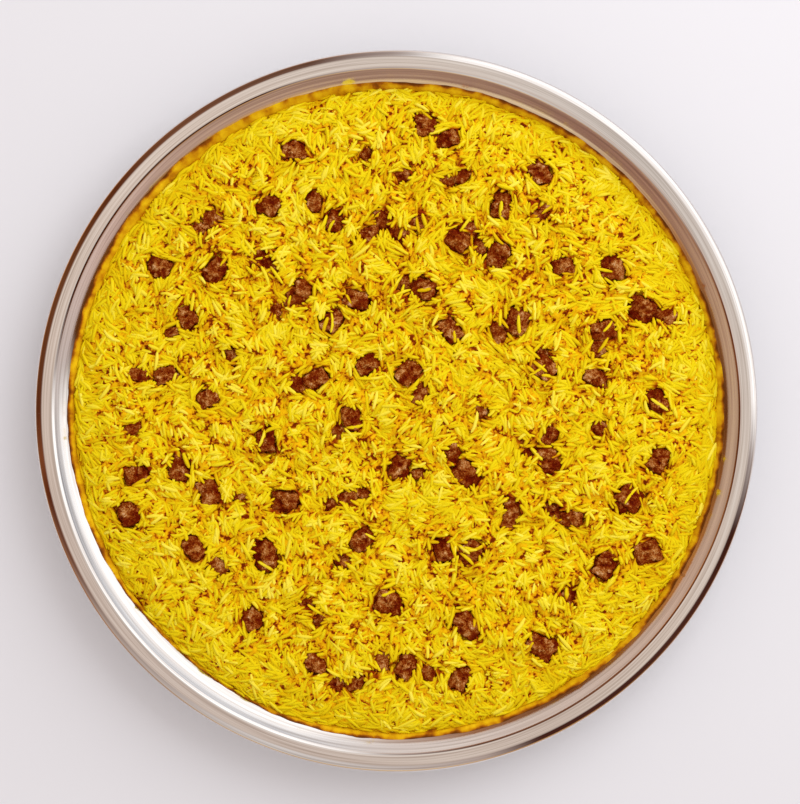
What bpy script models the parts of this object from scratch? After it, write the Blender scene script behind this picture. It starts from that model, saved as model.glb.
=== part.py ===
"""A round steel serving tray filled with a low heap of yellow rice and diced meat.

Metres, +Z up. The origin is the middle of the tray's underside, where it rests.
The tray is one turned sheet with a rolled edge. The rice is one solid that fills
the tray up to an uneven top, with a pocket under every piece of meat.
"""

import math
import random

import bmesh
import bpy
from mathutils import Euler, Matrix, Vector

MM = 0.001

# The tray: a spun steel sheet.
RIM_RADIUS = 350 * MM
TRAY_HEIGHT = 60 * MM
SHEET = 1.2 * MM
BEAD_RADIUS = 4 * MM
FLANGE_WIDTH = 12 * MM
FLANGE_BULGE = 0.6 * MM
CREASE_DROP = 3 * MM
WALL_SLOPE = math.radians(50)
FOOT_RADIUS = 15 * MM
BEAD_FROM = math.radians(135)
BEAD_TO = math.radians(-180)
BEAD_STEPS = 7
FOOT_STEPS = 3
SECTORS = 72

# The heap of rice.
GAP = 0.3 * MM
RICE_AT_WALL = 37.5 * MM
HEAP_RISE = 10.5 * MM
SHOULDER = 18 * MM
EDGE_RINGS = tuple(d * MM for d in (0, 4, 10, 20, 36, 60, 95, 140, 195, 255))
# Swells of the top: height, length and bearing of each wave.
SWELLS = (
    (0.7 * MM, 150 * MM, 20),
    (0.6 * MM, 118 * MM, 100),
    (0.5 * MM, 83 * MM, 155),
    (0.4 * MM, 64 * MM, 60),
    (0.3 * MM, 47 * MM, 130),
)
# Waves of the edge round the wall: height and number round the tray.
EDGE_WAVES = ((0.7 * MM, 5), (0.5 * MM, 11), (0.4 * MM, 17))

# The meat: where each piece lies in mm right of and above the middle, seen from
# above with +Y up, its length in mm and its bearing in degrees from +X.
MEAT_LAY = (
    (-100, 253, 26, 0), (-124, 199, 26, 160), (-80, 203, 22, 100), (-60, 184, 24, 75),
    (-230, 140, 27, 150), (-176, 137, 26, 50), (-95, 114, 30, 60), (-38, 107, 27, 170),
    (-62, 88, 26, 60), (-203, 92, 24, 120), (-225, 35, 24, 20), (-183, 12, 24, 30),
    (-77, 31, 24, 30), (-28, 45, 26, 40), (28, 279, 26, 110), (50, 264, 23, 20),
    (139, 232, 26, 110), (102, 200, 28, 80), (60, 165, 27, 150), (99, 152, 26, 70),
    (162, 141, 24, 10), (209, 140, 28, 90), (27, 119, 25, 160), (239, 99, 30, 160),
    (52, 78, 27, 130), (118, 87, 28, 70), (201, 79, 26, 10), (194, 32, 26, 160),
    (143, 42, 28, 140), (11, 37, 27, 50), (253, 10, 28, 120), (-252, -62, 28, 15),
    (-210, -56, 27, 75), (-182, -78, 28, 115), (-260, -100, 26, 110), (-126, -28, 26, 90),
    (-108, -88, 29, 170), (-43, -8, 26, 100), (-197, -133, 27, 130), (-127, -140, 31, 100),
    (-33, -125, 28, 40), (-140, -202, 25, 120), (-78, -246, 25, 150), (-6, -186, 32, 160),
    (3, -55, 28, 70), (68, -61, 27, 125), (148, -47, 28, 110), (255, -48, 27, 60),
    (171, -105, 23, 0), (227, -85, 28, 140), (45, -134, 26, 110), (72, -138, 26, 45),
    (203, -150, 28, 60), (244, -137, 29, 20), (68, -208, 30, 135), (141, -229, 31, 150),
    (9, -247, 26, 60), (62, -260, 26, 60),
)
MEAT_WIDTH = (0.68, 0.84)
MEAT_THICKNESS = (0.58, 0.68)
MEAT_SINK = 0.16
MEAT_TILT = math.radians(14)
CORNER_PULL = (0.66, 0.84)
FACE_PUSH = (0.92, 1.0)
POCKET_SCALE = 1.07


def material(name, colour, roughness, metallic=0.0):
    made = bpy.data.materials.new(name)
    made.use_nodes = True
    shader = made.node_tree.nodes["Principled BSDF"]
    shader.inputs["Base Color"].default_value = (*colour, 1.0)
    shader.inputs["Roughness"].default_value = roughness
    shader.inputs["Metallic"].default_value = metallic
    return made


def add_object(name, mesh, finish):
    obj = bpy.data.objects.new(name, mesh)
    bpy.context.scene.collection.objects.link(obj)
    mesh.materials.append(finish)
    return obj


def wall_radius(z):
    """The inside radius of the straight wall at a height."""
    crease_radius = RIM_RADIUS - BEAD_RADIUS - FLANGE_WIDTH
    return crease_radius - (TRAY_HEIGHT - CREASE_DROP - z) / math.tan(WALL_SLOPE)


def arc(centre, radius, start, end, steps):
    """Points on a circle in the profile's plane, both ends included."""
    angles = [start + (end - start) * i / steps for i in range(steps + 1)]
    return [
        (centre[0] + radius * math.cos(a), centre[1] + radius * math.sin(a))
        for a in angles
    ]


def foot_arc(offset):
    """The rounded foot between the floor and the wall, offset outwards from the inside."""
    tangent = FOOT_RADIUS * math.tan(WALL_SLOPE / 2)
    centre = (wall_radius(SHEET) - tangent, SHEET + FOOT_RADIUS)
    down = -math.pi / 2
    return arc(centre, FOOT_RADIUS + offset, down, down + WALL_SLOPE, FOOT_STEPS)


def tray_profile():
    """The sheet's outline from the middle of its top, over the bead, to the middle below."""
    bead_centre = (RIM_RADIUS - BEAD_RADIUS, TRAY_HEIGHT - BEAD_RADIUS)
    bead = arc(bead_centre, BEAD_RADIUS, BEAD_FROM, BEAD_TO, BEAD_STEPS)
    crease = (wall_radius(TRAY_HEIGHT - CREASE_DROP), TRAY_HEIGHT - CREASE_DROP)
    middle = (
        (crease[0] + bead[0][0]) / 2,
        (crease[1] + bead[0][1]) / 2 + FLANGE_BULGE,
    )
    below = (middle[0], middle[1] - SHEET)
    crease_below = (crease[0] + SHEET / 2, crease[1] - SHEET)
    top = [(0.0, SHEET), *foot_arc(0.0), crease, middle]
    underside = [below, crease_below, *reversed(foot_arc(SHEET)), (0.0, 0.0)]
    return top + bead + underside


def spun(profile):
    """A closed solid: the profile turned round Z, its two ends on the axis."""
    bm = bmesh.new()
    spots = [bm.verts.new((r, 0.0, z)) for r, z in profile]
    edges = [bm.edges.new(pair) for pair in zip(spots, spots[1:])]
    bmesh.ops.spin(
        bm,
        geom=spots + edges,
        cent=(0, 0, 0),
        axis=(0, 0, 1),
        angle=math.tau,
        steps=SECTORS,
    )
    bmesh.ops.remove_doubles(bm, verts=bm.verts, dist=0.01 * MM)
    bmesh.ops.recalc_face_normals(bm, faces=bm.faces)
    mesh = bpy.data.meshes.new("spun")
    bm.to_mesh(mesh)
    bm.free()
    return mesh


def tray(finish):
    mesh = spun(tray_profile())
    mesh.shade_smooth()
    mesh.set_sharp_from_angle(angle=math.radians(30))
    return add_object("tray", mesh, finish)


def edge_height(bearing):
    """The height at which the rice meets the wall."""
    waves = (a * math.sin(n * bearing + n) for a, n in EDGE_WAVES)
    return RICE_AT_WALL + sum(waves)


def heap_height(x, y):
    """A steep shoulder inside the wall, then a level top with low swells."""
    inward = wall_radius(RICE_AT_WALL) - math.hypot(x, y)
    grown = 1 - math.exp(-max(inward, 0.0) / SHOULDER)
    swell = sum(
        height * math.sin(math.tau / length * (x * math.cos(a) + y * math.sin(a)) + i)
        for i, (height, length, a) in enumerate(
            (h, w, math.radians(b)) for h, w, b in SWELLS
        )
    )
    return edge_height(math.atan2(y, x)) * (1 - grown) + grown * (
        RICE_AT_WALL + HEAP_RISE + swell
    )


def ring(bm, radius_and_height):
    """One ring of points round Z, each at the radius and height for its bearing."""
    spots = []
    for i in range(SECTORS):
        bearing = math.tau * i / SECTORS
        radius, height = radius_and_height(bearing)
        spots.append(
            bm.verts.new((radius * math.cos(bearing), radius * math.sin(bearing), height))
        )
    return spots


def top_ring(inward):
    """The radius and height of the heap's top, a distance in from its edge."""

    def spot(bearing):
        edge = wall_radius(edge_height(bearing)) - GAP / math.sin(WALL_SLOPE)
        radius = edge - inward
        if not inward:
            return radius, edge_height(bearing)
        return radius, heap_height(radius * math.cos(bearing), radius * math.sin(bearing))

    return spot


def join_rings(bm, rings):
    for outer, inner in zip(rings, rings[1:]):
        for i in range(SECTORS):
            j = (i + 1) % SECTORS
            bm.faces.new((outer[i], outer[j], inner[j], inner[i]))


def rice_block():
    """The heap before the pockets: rings from the floor, up the wall and over the top."""
    bm = bmesh.new()
    lower = [ring(bm, lambda _, spot=spot: spot) for spot in foot_arc(-GAP)]
    upper = [ring(bm, top_ring(inward)) for inward in EDGE_RINGS]
    join_rings(bm, lower + upper)
    floor_middle = bm.verts.new((0, 0, SHEET + GAP))
    crown = bm.verts.new((0, 0, heap_height(0, 0)))
    for loop, centre in ((lower[0], floor_middle), (upper[-1], crown)):
        for i in range(SECTORS):
            bm.faces.new((loop[i], loop[(i + 1) % SECTORS], centre))
    bmesh.ops.recalc_face_normals(bm, faces=bm.faces)
    bmesh.ops.triangulate(bm, faces=bm.faces)
    mesh = bpy.data.meshes.new("rice")
    bm.to_mesh(mesh)
    bm.free()
    return mesh


def rice(finish, pockets):
    """The heap, with a pocket cut for each piece of meat."""
    obj = add_object("rice", rice_block(), finish)
    cut = obj.modifiers.new("pockets", "BOOLEAN")
    cut.operation = "DIFFERENCE"
    cut.solver = "EXACT"
    cut.use_self = True
    cut.object = pockets
    return obj


def chunk_mesh(name, length, rand):
    """A roughly cut block: the hull of eight pulled-in corners and six face middles."""
    half = Vector((1.0, rand.uniform(*MEAT_WIDTH), rand.uniform(*MEAT_THICKNESS)))
    half *= length / 2
    bm = bmesh.new()
    for corner in range(8):
        signs = [1 if corner >> axis & 1 else -1 for axis in range(3)]
        bm.verts.new([s * h * rand.uniform(*CORNER_PULL) for s, h in zip(signs, half)])
    for axis in range(3):
        for side in (-1, 1):
            spot = Vector((0, 0, 0))
            spot[axis] = side * half[axis] * rand.uniform(*FACE_PUSH)
            bm.verts.new(spot)
    bmesh.ops.convex_hull(bm, input=bm.verts)
    bmesh.ops.recalc_face_normals(bm, faces=bm.faces)
    mesh = bpy.data.meshes.new(name)
    bm.to_mesh(mesh)
    bm.free()
    return mesh


def meat(number, lay, finish):
    """One piece of meat, half sunk in the heap."""
    rand = random.Random(number)
    x, y, length = (value * MM for value in lay[:3])
    name = f"meat_{number:02d}"
    obj = add_object(name, chunk_mesh(name, length, rand), finish)
    obj.location = (x, y, heap_height(x, y) - MEAT_SINK * length)
    tilt = [rand.uniform(-MEAT_TILT, MEAT_TILT) for _ in range(2)]
    obj.rotation_euler = (*tilt, math.radians(lay[3]))
    return obj


def pocket_cutter(pieces):
    """One hidden mesh of every piece of meat, each a little enlarged."""
    bm = bmesh.new()
    for piece in pieces:
        place = Matrix.LocRotScale(
            piece.location,
            Euler(piece.rotation_euler),
            Vector((POCKET_SCALE,) * 3),
        )
        before = len(bm.verts)
        bm.from_mesh(piece.data)
        bm.verts.ensure_lookup_table()
        bmesh.ops.transform(bm, matrix=place, verts=bm.verts[before:])
    mesh = bpy.data.meshes.new("pockets")
    bm.to_mesh(mesh)
    bm.free()
    obj = bpy.data.objects.new("pockets", mesh)
    bpy.context.scene.collection.objects.link(obj)
    obj.display_type = "WIRE"
    obj.hide_render = True
    return obj


def main():
    for obj in list(bpy.data.objects):
        bpy.data.objects.remove(obj)
    steel = material("polished_steel", (0.62, 0.60, 0.58), 0.18, 1.0)
    grain = material("yellow_rice", (0.72, 0.46, 0.015), 0.45)
    roast = material("cooked_meat", (0.13, 0.045, 0.022), 0.5)
    tray(steel)
    pieces = [meat(n, lay, roast) for n, lay in enumerate(MEAT_LAY, start=1)]
    rice(grain, pocket_cutter(pieces))


main()
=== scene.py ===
"""The looks of a round steel serving tray of yellow rice with diced meat.

Metres, +Z up, seen from straight above. The tray is a turned sheet, the pieces of meat
are rough blocks, and the rice is some twenty-two thousand single grains that come to rest
on one another, on the meat and on the tray's sloping side.
"""

import math

import bpy
import numpy as np
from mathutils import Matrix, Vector


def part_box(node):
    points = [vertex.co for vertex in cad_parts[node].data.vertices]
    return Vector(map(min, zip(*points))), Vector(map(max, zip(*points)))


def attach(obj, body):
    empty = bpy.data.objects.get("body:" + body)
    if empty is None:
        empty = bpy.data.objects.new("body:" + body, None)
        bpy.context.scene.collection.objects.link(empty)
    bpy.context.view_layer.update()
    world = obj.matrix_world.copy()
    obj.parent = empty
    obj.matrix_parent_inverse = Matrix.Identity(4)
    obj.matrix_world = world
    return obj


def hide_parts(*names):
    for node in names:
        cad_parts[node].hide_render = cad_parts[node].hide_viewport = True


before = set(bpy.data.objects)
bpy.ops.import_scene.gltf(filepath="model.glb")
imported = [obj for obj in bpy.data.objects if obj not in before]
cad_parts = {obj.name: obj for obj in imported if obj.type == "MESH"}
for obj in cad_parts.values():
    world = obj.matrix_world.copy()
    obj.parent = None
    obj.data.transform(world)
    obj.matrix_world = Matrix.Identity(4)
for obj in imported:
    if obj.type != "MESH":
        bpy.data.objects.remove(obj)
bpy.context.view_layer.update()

scene = bpy.context.scene


# ---- The view ---------------------------------------------------------------------
# The tray is seen from straight above, a little off its middle, from about the height
# of a standing person's raised arms. Colours are shown plainly, with no film curve.

MM = 0.001
RIM_RADIUS, _, RIM_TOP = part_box("tray")[1]

eye_height = 1550 * MM
eye_offset = (3.7 * MM, 8.7 * MM)
view_height = 2.2155 * RIM_RADIUS
sensor = 36.0

eye = bpy.data.cameras.new("eye")
eye.sensor_width = sensor
eye.lens = sensor * eye_height / view_height
camera = bpy.data.objects.new("camera", eye)
camera.location = (*eye_offset, RIM_TOP + eye_height)
scene.collection.objects.link(camera)
scene.camera = camera
scene.view_settings.view_transform = "Standard"


# ---- The steel tray ---------------------------------------------------------------
# A stainless sheet spun on a lathe: a flat floor, a rounded foot, a sloping side, a
# crease, a crowned flange, and an edge rolled under. The inside is polished, with the
# faint rings of spinning and the rubbed streaks of long use.

SHEET = 1.2 * MM
BEAD_RADIUS = 4 * MM
FLANGE_WIDTH = 12 * MM
CREASE_DROP = 3 * MM
WALL_SLOPE = math.radians(50)
FOOT_RADIUS = 15 * MM
ROLL_RADIUS = 4 * MM
TRAY_TURNS = 360
# The slope of the sheet, in degrees, at distances in mm in from the outer edge.
SLOPES = ((60.7, 53), (36, 53), (34, 43.5), (30.2, 45.2), (29, 46.6), (28, 47.8), (26.2, 48.7),
          (22.5, 49.4), (20.2, 49.8), (19.1, 47.8), (17.9, 29), (16.6, 4.5), (13, 1.5),
          (11, -2), (9.2, -9), (6.9, -16.5), (1.9, -36.5))
# Stretches of the sheet in mm in from the edge, with a count of places: the side, its
# upper part, the crease and the flange.
STRETCHES = ((60.7, 37, 4), (36, 21, 20), (20.5, 15, 23), (14.5, 1.9, 36))
FLANGE_INNER = 13 * MM
UNDER_FROM = 9.6 * MM
# Fine steps that the spinning tool leaves on the flange: degrees of slope and spacing.
TOOL_RINGS = ((0.35, 1.3 * MM), (0.15, 0.53 * MM))
ROLL_STEPS = 30
FOOT_STEPS = 12


def linear(code, scale=1.0):
    """An sRGB hex colour as linear red, green, blue and alpha, times a scale."""
    parts = np.array([int(code[i : i + 2], 16) for i in (1, 3, 5)]) / 255
    values = np.where(parts <= 0.04045, parts / 12.92, ((parts + 0.055) / 1.055) ** 2.4)
    return (*(values * scale).tolist(), 1.0)


def feed(tree, socket, source):
    """Links an output, or a node's first output, to an input, or sets a plain value."""
    if isinstance(source, bpy.types.Node):
        source = source.outputs[0]
    if isinstance(source, bpy.types.NodeSocket):
        tree.links.new(source, socket)
    else:
        socket.default_value = source


def add_node(tree, kind, links=None, **settings):
    """Adds a shader node; settings that name an input feed it, others set the node.

    links feeds inputs by number. In an input's name an underscore stands for a space.
    """
    node = tree.nodes.new("ShaderNode" + kind)
    for key, value in settings.items():
        if hasattr(node, key):
            setattr(node, key, value)
        else:
            feed(tree, node.inputs[key.replace("_", " ")], value)
    for socket, source in (links or {}).items():
        feed(tree, node.inputs[socket], source)
    return node


def add_ramp(tree, source, stops):
    """A colour ramp over (place, sRGB colour) stops, read at the source."""
    node = add_node(tree, "ValToRGB", Fac=source)
    ramp = node.color_ramp
    while len(ramp.elements) < len(stops):
        ramp.elements.new(1.0)
    for element, (place, code) in zip(ramp.elements, stops):
        element.position = place
        element.color = linear(code)
    return node


def new_material(name):
    """A named material, its node tree and its Principled shader."""
    made = bpy.data.materials.new(name)
    made.use_nodes = True
    return made, made.node_tree, made.node_tree.nodes["Principled BSDF"]


def shade(tree, shader, **settings):
    """Feeds the shader's inputs by name, an underscore standing for a space."""
    for name, source in settings.items():
        feed(tree, shader.inputs[name.replace("_", " ")], source)


def mesh_object(name, points, faces, material, body="root", uv=None):
    """A smooth mesh object from an (n, 3) array of points and arrays of faces.

    faces is a list of integer arrays, one array for each number of corners.
    uv, if given, holds one (u, v) pair for each face corner in the same order.
    """
    mesh = bpy.data.meshes.new(name)
    mesh.vertices.add(len(points))
    mesh.vertices.foreach_set("co", np.asarray(points, np.float32).ravel())
    corners = np.concatenate([f.ravel() for f in faces]).astype(np.int32)
    sizes = np.concatenate([np.full(len(f), f.shape[1]) for f in faces])
    starts = np.concatenate([[0], np.cumsum(sizes)[:-1]]).astype(np.int32)
    mesh.loops.add(len(corners))
    mesh.loops.foreach_set("vertex_index", corners)
    mesh.polygons.add(len(sizes))
    mesh.polygons.foreach_set("loop_start", starts)
    if uv is not None:
        layer = mesh.uv_layers.new(name="OFBake")
        layer.uv.foreach_set("vector", np.asarray(uv, np.float32).ravel())
    mesh.update(calc_edges=True)
    mesh.validate()
    mesh.shade_smooth()
    mesh.materials.append(material)
    made = bpy.data.objects.new(name, mesh)
    scene.collection.objects.link(made)
    if body:
        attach(made, body)
    return made


def arc(centre, radius, start, end, steps):
    """Points on a circle in the profile's plane, both ends included."""
    turn = np.radians(np.linspace(start, end, steps + 1))
    return np.stack(
        [centre[0] + radius * np.cos(turn), centre[1] + radius * np.sin(turn)], 1
    )


def wall_radius(height):
    """The inside radius of the straight sloping side at a height."""
    crease = RIM_RADIUS - BEAD_RADIUS - FLANGE_WIDTH
    return crease - (RIM_TOP - CREASE_DROP - height) / math.tan(WALL_SLOPE)


def tray_profile():
    """Radius and height along the sheet: over the floor, up, round the roll and back under.

    Heights are the running sum of the slope's tangent; the side's foot and the roll are
    arcs, and the underside is the upper side moved by the sheet's thickness.
    """
    inward, slope = np.array(SLOPES).T
    r = np.concatenate([np.linspace(*stretch) for stretch in STRETCHES])
    r = RIM_RADIUS - r * MM
    angle = np.interp(r, RIM_RADIUS - inward * MM, np.radians(slope))
    rings = sum(high * np.sin((r - r[0]) / apart) for high, apart in TOOL_RINGS)
    angle = angle + np.radians(rings) * (r > RIM_RADIUS - FLANGE_INNER)
    steps = np.diff(r) * np.tan((angle[1:] + angle[:-1]) / 2)
    z = np.concatenate([[0], np.cumsum(steps)])
    z += RIM_TOP - z.max()
    side = np.stack([r, z], 1)
    edge = math.radians(slope[-1])
    roll_centre = side[-1] - ROLL_RADIUS * np.array([-math.sin(edge), math.cos(edge)])
    roll = arc(roll_centre, ROLL_RADIUS, 90 + slope[-1], -190, ROLL_STEPS)[1:]
    bottom = slope[0]
    foot = (r[0] - FOOT_RADIUS * math.sin(angle[0]), z[0] + FOOT_RADIUS * math.cos(angle[0]))
    drop = foot[1] - FOOT_RADIUS - SHEET
    foot_arc = arc(foot, FOOT_RADIUS, -90, -90 + bottom, FOOT_STEPS)
    foot_arc[:, 1] -= drop * (1 - np.arange(FOOT_STEPS + 1) / FOOT_STEPS)
    normal = np.stack([np.sin(angle), -np.cos(angle)], 1)
    under = (side + SHEET * normal)[: np.searchsorted(r, RIM_RADIUS - UNDER_FROM)]
    lean = np.radians(np.linspace(0, bottom, FOOT_STEPS + 1))
    under_foot = foot_arc + SHEET * np.stack([np.sin(lean), -np.cos(lean)], 1)
    under_foot[:, 1] = np.maximum(under_foot[:, 1], 0)
    top_middle = [[0.0, SHEET], [foot[0] * 0.5, SHEET]]
    low_middle = [[foot[0] * 0.5, 0.0], [0.0, 0.0]]
    return np.concatenate(
        [top_middle, foot_arc[:-1], side, roll, under[::-1], under_foot[-2::-1], low_middle]
    )


profile = tray_profile()
rising = profile[: 1 + profile[:, 1].argmax()]


def steel_radius(height):
    """The steel's inner radius at a height on the sloping side, from its profile."""
    return np.interp(height, rising[:, 1], rising[:, 0])


def steel_height(radius):
    """The height of the steel's upper surface at a distance from the middle."""
    return np.interp(radius, rising[:, 0], rising[:, 1])


def turned(profile, turns):
    """Points and faces of a profile turned round Z; both its ends lie on the axis.

    Point (i, k) is the profile's point i at the angle k / turns of a full turn.
    """
    angle = np.arange(turns) * math.tau / turns
    ring = np.stack([np.cos(angle), np.sin(angle)], 1)
    inner = profile[1:-1]
    flat = inner[:, None, :1] * ring[None]
    heights = np.broadcast_to(inner[:, 1][:, None, None], (*flat.shape[:2], 1))
    points = np.concatenate([flat, heights], 2).reshape(-1, 3)
    ends = [[0, 0, profile[0, 1]], [0, 0, profile[-1, 1]]]
    points = np.concatenate([points, ends])
    row, k = np.meshgrid(np.arange(len(inner) - 1), np.arange(turns), indexing="ij")
    after = (k + 1) % turns
    quads = [row * turns + k, (row + 1) * turns + k, (row + 1) * turns + after,
             row * turns + after]
    quads = np.stack(quads, -1).reshape(-1, 4)
    k, after = k[0], after[0]
    base = (len(inner) - 1) * turns
    top_fan = np.stack([np.full(turns, len(points) - 2), k, after], 1)
    low_fan = np.stack([np.full(turns, len(points) - 1), base + after, base + k], 1)
    return points, [quads, top_fan, low_fan]


# Polished stainless steel: bright and warm-grey, a mirror with the faint rings that the
# lathe leaves, so that it shows drawn-out bands of the room. The rings are 1 to 3 mm
# apart and a hand's width long, coarser than the real tool marks, so that they show.
steel, tree, shader = new_material("spun_stainless_steel")
where = add_node(tree, "TexCoord").outputs["Object"]
flat = add_node(tree, "VectorMath", {0: where, 1: (1, 1, 0)}, operation="MULTIPLY")
bearing = add_node(tree, "VectorMath", {0: flat}, operation="NORMALIZE")
radius = add_node(tree, "VectorMath", {0: flat}, operation="LENGTH")
rings = add_node(tree, "Math", {0: radius.outputs["Value"], 1: 650.0}, operation="MULTIPLY")
lifted = add_node(tree, "CombineXYZ", Z=rings)
drawn = add_node(
    tree, "VectorMath", {0: bearing, 1: (1.8, 1.8, 0), 2: lifted}, operation="MULTIPLY_ADD"
)
marks = add_node(tree, "TexNoise", Vector=drawn, Scale=1.0, Detail=3.0, Roughness=0.6)
shine = add_node(
    tree, "MapRange", Value=marks, From_Min=0.3, From_Max=0.7, To_Min=0.04, To_Max=0.09
)
tint = add_ramp(tree, marks, [(0.32, "#ccc3bd"), (0.50, "#e6dfdb"), (0.66, "#f4f1ef")])
around = add_node(tree, "Tangent", direction_type="RADIAL", axis="Z")
shade(
    tree, shader, Base_Color=tint, Metallic=1.0, Roughness=shine,
    Anisotropic=0.4, Anisotropic_Rotation=0.25, Tangent=around,
)

tray_points, tray_faces = turned(profile, TRAY_TURNS)
tray = mesh_object("steel_tray", tray_points, tray_faces, steel)
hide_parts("tray")


# ---- The pieces of meat -----------------------------------------------------------
# Lamb or beef cut in rough dice and cooked with the rice: each piece has rounded
# corners, torn fibres along one way, and small pits. Browned outside, with a thin film of
# fat; painted pinkish tan on the top and the raised fibres (painted light), and darker in
# the pits and down the sides (painted shade).

CHUNK_AROUND = 60
CHUNK_DOWN = 32
# The rough skin swells past the CAD block's flat sides, which cut the piece's corners off.
CHUNK_SWELL = 1.16
FIBRE_RISE = 0.6 * MM
CRUMB_RISE = 1.6 * MM
DENT_SHARE = 0.17


def lattice(cell, seed):
    """A repeatable random number from -1 to 1 for each whole-numbered cell."""
    mixed = (cell * np.array([73856093, 19349663, 83492791])).sum(-1) + seed * 2654435
    mixed = (mixed ^ (mixed >> 13)) * 1274126177
    mixed = (mixed ^ (mixed >> 16)) & 0x7FFFFFFF
    return mixed / 0x3FFFFFFF - 1.0


def value_noise(points, seed):
    """Smooth noise from -1 to 1: random cell corners blended by a cubic step."""
    low = np.floor(points).astype(np.int64)
    part = points - low
    part = part * part * (3 - 2 * part)
    total = 0.0
    for corner in np.ndindex(2, 2, 2):
        weight = np.prod(np.where(np.array(corner) == 1, part, 1 - part), axis=-1)
        total = total + weight * lattice(low + np.array(corner), seed)
    return total


def octaves(points, seed, count):
    """Noise summed over count scales, each twice as fine and half as strong."""
    return sum(value_noise(points * 2**i, seed + i) / 2**i for i in range(count))


def sphere_grid(around, down):
    """Unit directions over a sphere, as rings and two poles, and its faces."""
    polar = np.pi * np.arange(down + 1) / down
    return turned(np.stack([np.sin(polar), np.cos(polar)], 1), around)


def block_radius(directions, normals, reach, hardness=26.0):
    """How far a rounded block reaches along each direction.

    A flat side with normal n at distance h is met at h / (n . d); the nearest side
    counts, and a high power sum instead of the exact minimum rounds the edges.
    """
    facing = np.maximum(directions @ normals.T, 0) / reach
    return (facing**hardness).sum(1) ** (-1 / hardness)


def meat_skin(directions, radius, size, seed):
    """A rough block's points about its middle, and its painted light and shade at each point.

    Fibres are noise drawn out along one way, dents a broad noise, and crumbs the dips of
    a rounder noise. The painted light and shade runs from about -1 in the pits, a painted
    shade, to 1 on the ridges and the top, a painted light.
    """
    rand = np.random.default_rng(seed)
    fibre = rand.normal(size=3) * (1, 1, 0.5)
    fibre /= np.linalg.norm(fibre)
    points = directions * radius[:, None]
    warped = points + 1.5 * MM * octaves(points / (6 * MM), seed, 2)[:, None] * fibre
    along = (warped @ fibre)[:, None] * fibre
    strands = octaves((warped - 0.75 * along) / (2.4 * MM), seed + 7, 3)
    dents = octaves(points / (0.5 * size), seed + 11, 2)
    crumbs = np.minimum(octaves(points / (4.2 * MM), seed + 17, 3) + 0.2, 0)
    rise = FIBRE_RISE * strands + DENT_SHARE * size * dents + CRUMB_RISE * crumbs
    painted_light_and_shade = 0.6 * strands + 1.1 * crumbs + 0.3 * dents
    skin = points + directions * rise[:, None]
    # Points near the top are painted lighter and the lower sides darker: a painted light and
    # shade.
    tone_with_painted_shade = np.clip((skin[:, 2] - skin[:, 2].max()) / (5 * MM) + 1, 0, 1)
    return skin, painted_light_and_shade + 1.1 * (tone_with_painted_shade - 0.5)


chunk_ways, chunk_faces = sphere_grid(CHUNK_AROUND, CHUNK_DOWN)


def cad_sides(node):
    """The middle of a CAD block, and the normals and distances of its flat sides."""
    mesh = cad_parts[node].data
    count = len(mesh.polygons)
    normals, middles, areas = (np.empty(count * n) for n in (3, 3, 1))
    mesh.polygons.foreach_get("normal", normals)
    mesh.polygons.foreach_get("center", middles)
    mesh.polygons.foreach_get("area", areas)
    normals, middles = normals.reshape(-1, 3), middles.reshape(-1, 3)
    centre = (middles * areas[:, None]).sum(0) / areas.sum()
    reach = ((middles - centre) * normals).sum(1)
    return centre, normals, reach


# Browned meat, crumbly at 1 to 3 mm, with a thin film of yellow fat. Its colour is painted:
# dark maroon in the hollows and down the sides (painted shade), tan on the raised fibres and
# the top (painted light), and pale tan flecks at the noise's peaks (painted highlights).
meat, tree, shader = new_material("browned_meat")
where = add_node(tree, "TexCoord").outputs["Object"]
patches = add_node(tree, "TexNoise", Vector=where, Scale=110.0, Detail=4.0, Roughness=0.6)
grain = add_node(tree, "TexNoise", Vector=where, Scale=600.0, Detail=3.0, Roughness=0.75)
painted_light_and_shade = add_node(tree, "Attribute", attribute_name="painted_light_and_shade")
speckled = add_node(tree, "Math", {0: patches, 1: grain}, operation="ADD")
tone_and_painted_light = add_node(
    tree, "Math", {0: painted_light_and_shade.outputs["Fac"], 1: 0.18, 2: speckled}, operation="MULTIPLY_ADD"
)
halved = add_node(tree, "Math", {0: tone_and_painted_light, 1: 0.5}, operation="MULTIPLY")
# The darker stops fall in the pits and low on the sides, a painted shade; the tan on the
# raised fibres and top is painted light, and the palest tan at the noise's peaks are painted
# highlights.
tone = add_ramp(
    tree, halved, [(0.38, "#5e0c01"), (0.45, "#742002"), (0.51, "#8c400a"),
                   (0.57, "#b06c2e"), (0.63, "#ca945a"), (0.71, "#e8bc90")]
)
bump = add_node(tree, "Bump", Height=grain, Strength=1.0, Distance=0.0022)
film = add_node(
    tree, "MapRange", Value=grain, From_Min=0.35, From_Max=0.65, To_Min=0.18, To_Max=0.5
)
shade(
    tree, shader, Base_Color=tone, Roughness=film, Specular_IOR_Level=0.3,
    Specular_Tint=linear("#ff9450"), Normal=bump,
)


def keep_values(piece, name, values):
    """Keeps a number for each of the piece's points, for its material to read."""
    layer = piece.data.attributes.new(name, "FLOAT", "POINT")
    layer.data.foreach_set("value", values.astype(np.float32))


def meat_piece(name, skin, faces, painted_light_and_shade):
    """A piece of meat, with the painted light and shade at each of its points."""
    piece = mesh_object(name, skin, faces, meat)
    keep_values(piece, "painted_light_and_shade", painted_light_and_shade)
    return piece


meat_tops = []
for number, node in enumerate(sorted(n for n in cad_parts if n.startswith("meat"))):
    centre, normals, reach = cad_sides(node)
    radius = block_radius(chunk_ways, normals, reach)
    skin, painted_light_and_shade = meat_skin(chunk_ways, radius * CHUNK_SWELL, radius.mean(), 100 + number)
    piece = meat_piece(f"{node}_diced", centre + skin, chunk_faces, painted_light_and_shade)
    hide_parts(node)
    meat_tops.append(centre + skin)


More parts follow.
